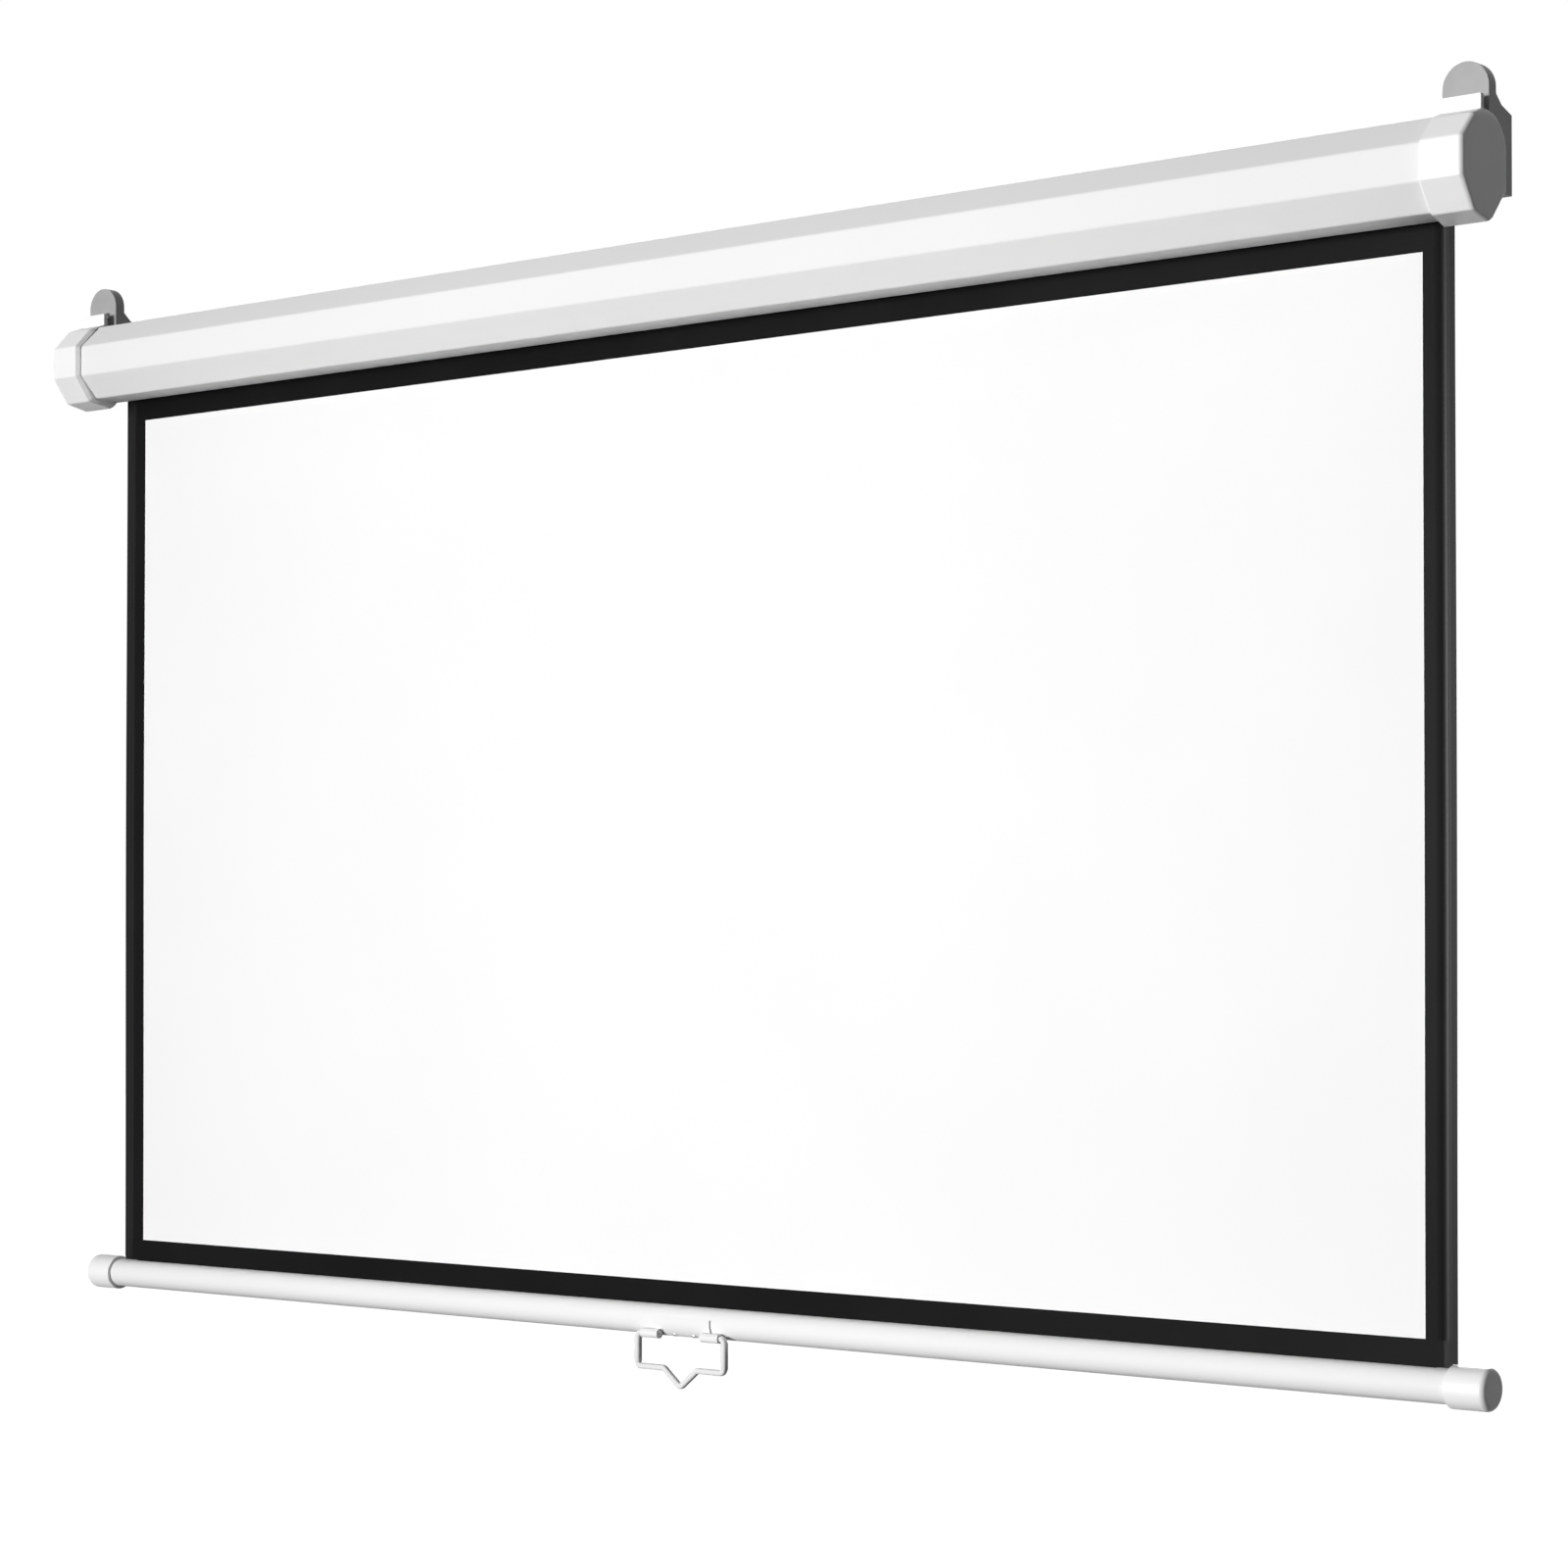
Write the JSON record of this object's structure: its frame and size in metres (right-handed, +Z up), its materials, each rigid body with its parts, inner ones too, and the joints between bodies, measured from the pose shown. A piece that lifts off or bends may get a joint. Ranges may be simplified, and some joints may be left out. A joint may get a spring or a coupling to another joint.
{
  "type": "pull down projector screen",
  "caption": "Wall-hung spring roller projector screen: white picture cloth in a black mask that pulls down from a faceted housing by a weighted bar with a wire handle.",
  "frame": {"origin": "on the wall plane, midway between the two wall brackets, at the housing's middle height", "axes": "+X along the screen to its right, +Y into the wall, +Z up"},
  "size_m": [1.745, 0.088, 1.1451],
  "materials": {
    "white_steel": "satin white powder coat",
    "white_plastic": "satin moulded white",
    "grey_bracket": "plain mid grey",
    "picture_white": "matt white coated cloth",
    "mask_black": "matt black printed border",
    "zinc": "plain zinc plate",
    "spring_steel": "oiled spring wire",
    "plain_plastic": "unpainted moulding"
  },
  "bodies": {
    "case": {"case_shell": "white_steel", "left_end_cap": "white_plastic", "right_end_cap": "white_plastic", "left_wall_bracket": "grey_bracket", "right_wall_bracket": "grey_bracket", "cap_screw_left_lower": "zinc", "cap_screw_left_upper": "zinc", "cap_screw_right_lower": "zinc", "cap_screw_right_upper": "zinc", "tang_holder": "zinc", "idle_bush": "plain_plastic", "spring_spindle": "zinc", "spring_anchor": "zinc", "top_mask": "mask_black", "viewing_cloth": "picture_white", "side_mask_left": "mask_black", "side_mask_right": "mask_black"},
    "roller": {"roller_tube": "zinc", "cloth_wrap": "mask_black", "cloth_spline": "plain_plastic", "ratchet_plug": "plain_plastic", "pawl_pin_a": "zinc", "pawl_pin_b": "zinc", "counter_spring": "spring_steel", "spindle_bearing": "plain_plastic", "idle_plug": "plain_plastic", "idle_pin": "zinc"},
    "pawl_a": {"pawl_a": "zinc"},
    "pawl_b": {"pawl_b": "zinc"},
    "bar": {"bottom_bar": "white_steel", "bar_cap_left": "white_plastic", "bar_cap_right": "white_plastic", "bottom_mask": "mask_black", "hem_rod": "zinc", "handle_clip": "white_steel", "clip_rivet_left": "zinc", "clip_rivet_right": "zinc"},
    "handle": {"handle_bail": "white_steel"}
  },
  "joints": [
    {"name": "bar_slide", "type": "slide", "parent": "case", "child": "bar", "axis": [0, 0, 1], "range_m": [0, 0.925], "deforming": ["top_mask", "viewing_cloth", "side_mask_left", "side_mask_right"]},
    {"name": "roller_spin", "type": "hinge", "parent": "case", "child": "roller", "pos_m": [0, -0.04055, 0], "axis": [1, 0, 0], "range_deg": [0, 2520]},
    {"name": "handle_swing", "type": "hinge", "parent": "bar", "child": "handle", "pos_m": [0, -0.03679, -1.0082], "axis": [1, 0, 0], "range_deg": [-140, 38]},
    {"name": "pawl_a_swing", "type": "hinge", "parent": "roller", "child": "pawl_a", "pos_m": [-0.8336, -0.04055, 0.013], "axis": [-1, 0, 0], "range_deg": [0, 14]},
    {"name": "pawl_b_swing", "type": "hinge", "parent": "roller", "child": "pawl_b", "pos_m": [-0.8336, -0.04055, -0.013], "axis": [-1, 0, 0], "range_deg": [0, 14]}
  ],
  "couplings": [
    {"joint": "roller_spin", "follows": "bar_slide", "rad_per_m": 47.548}
  ]
}
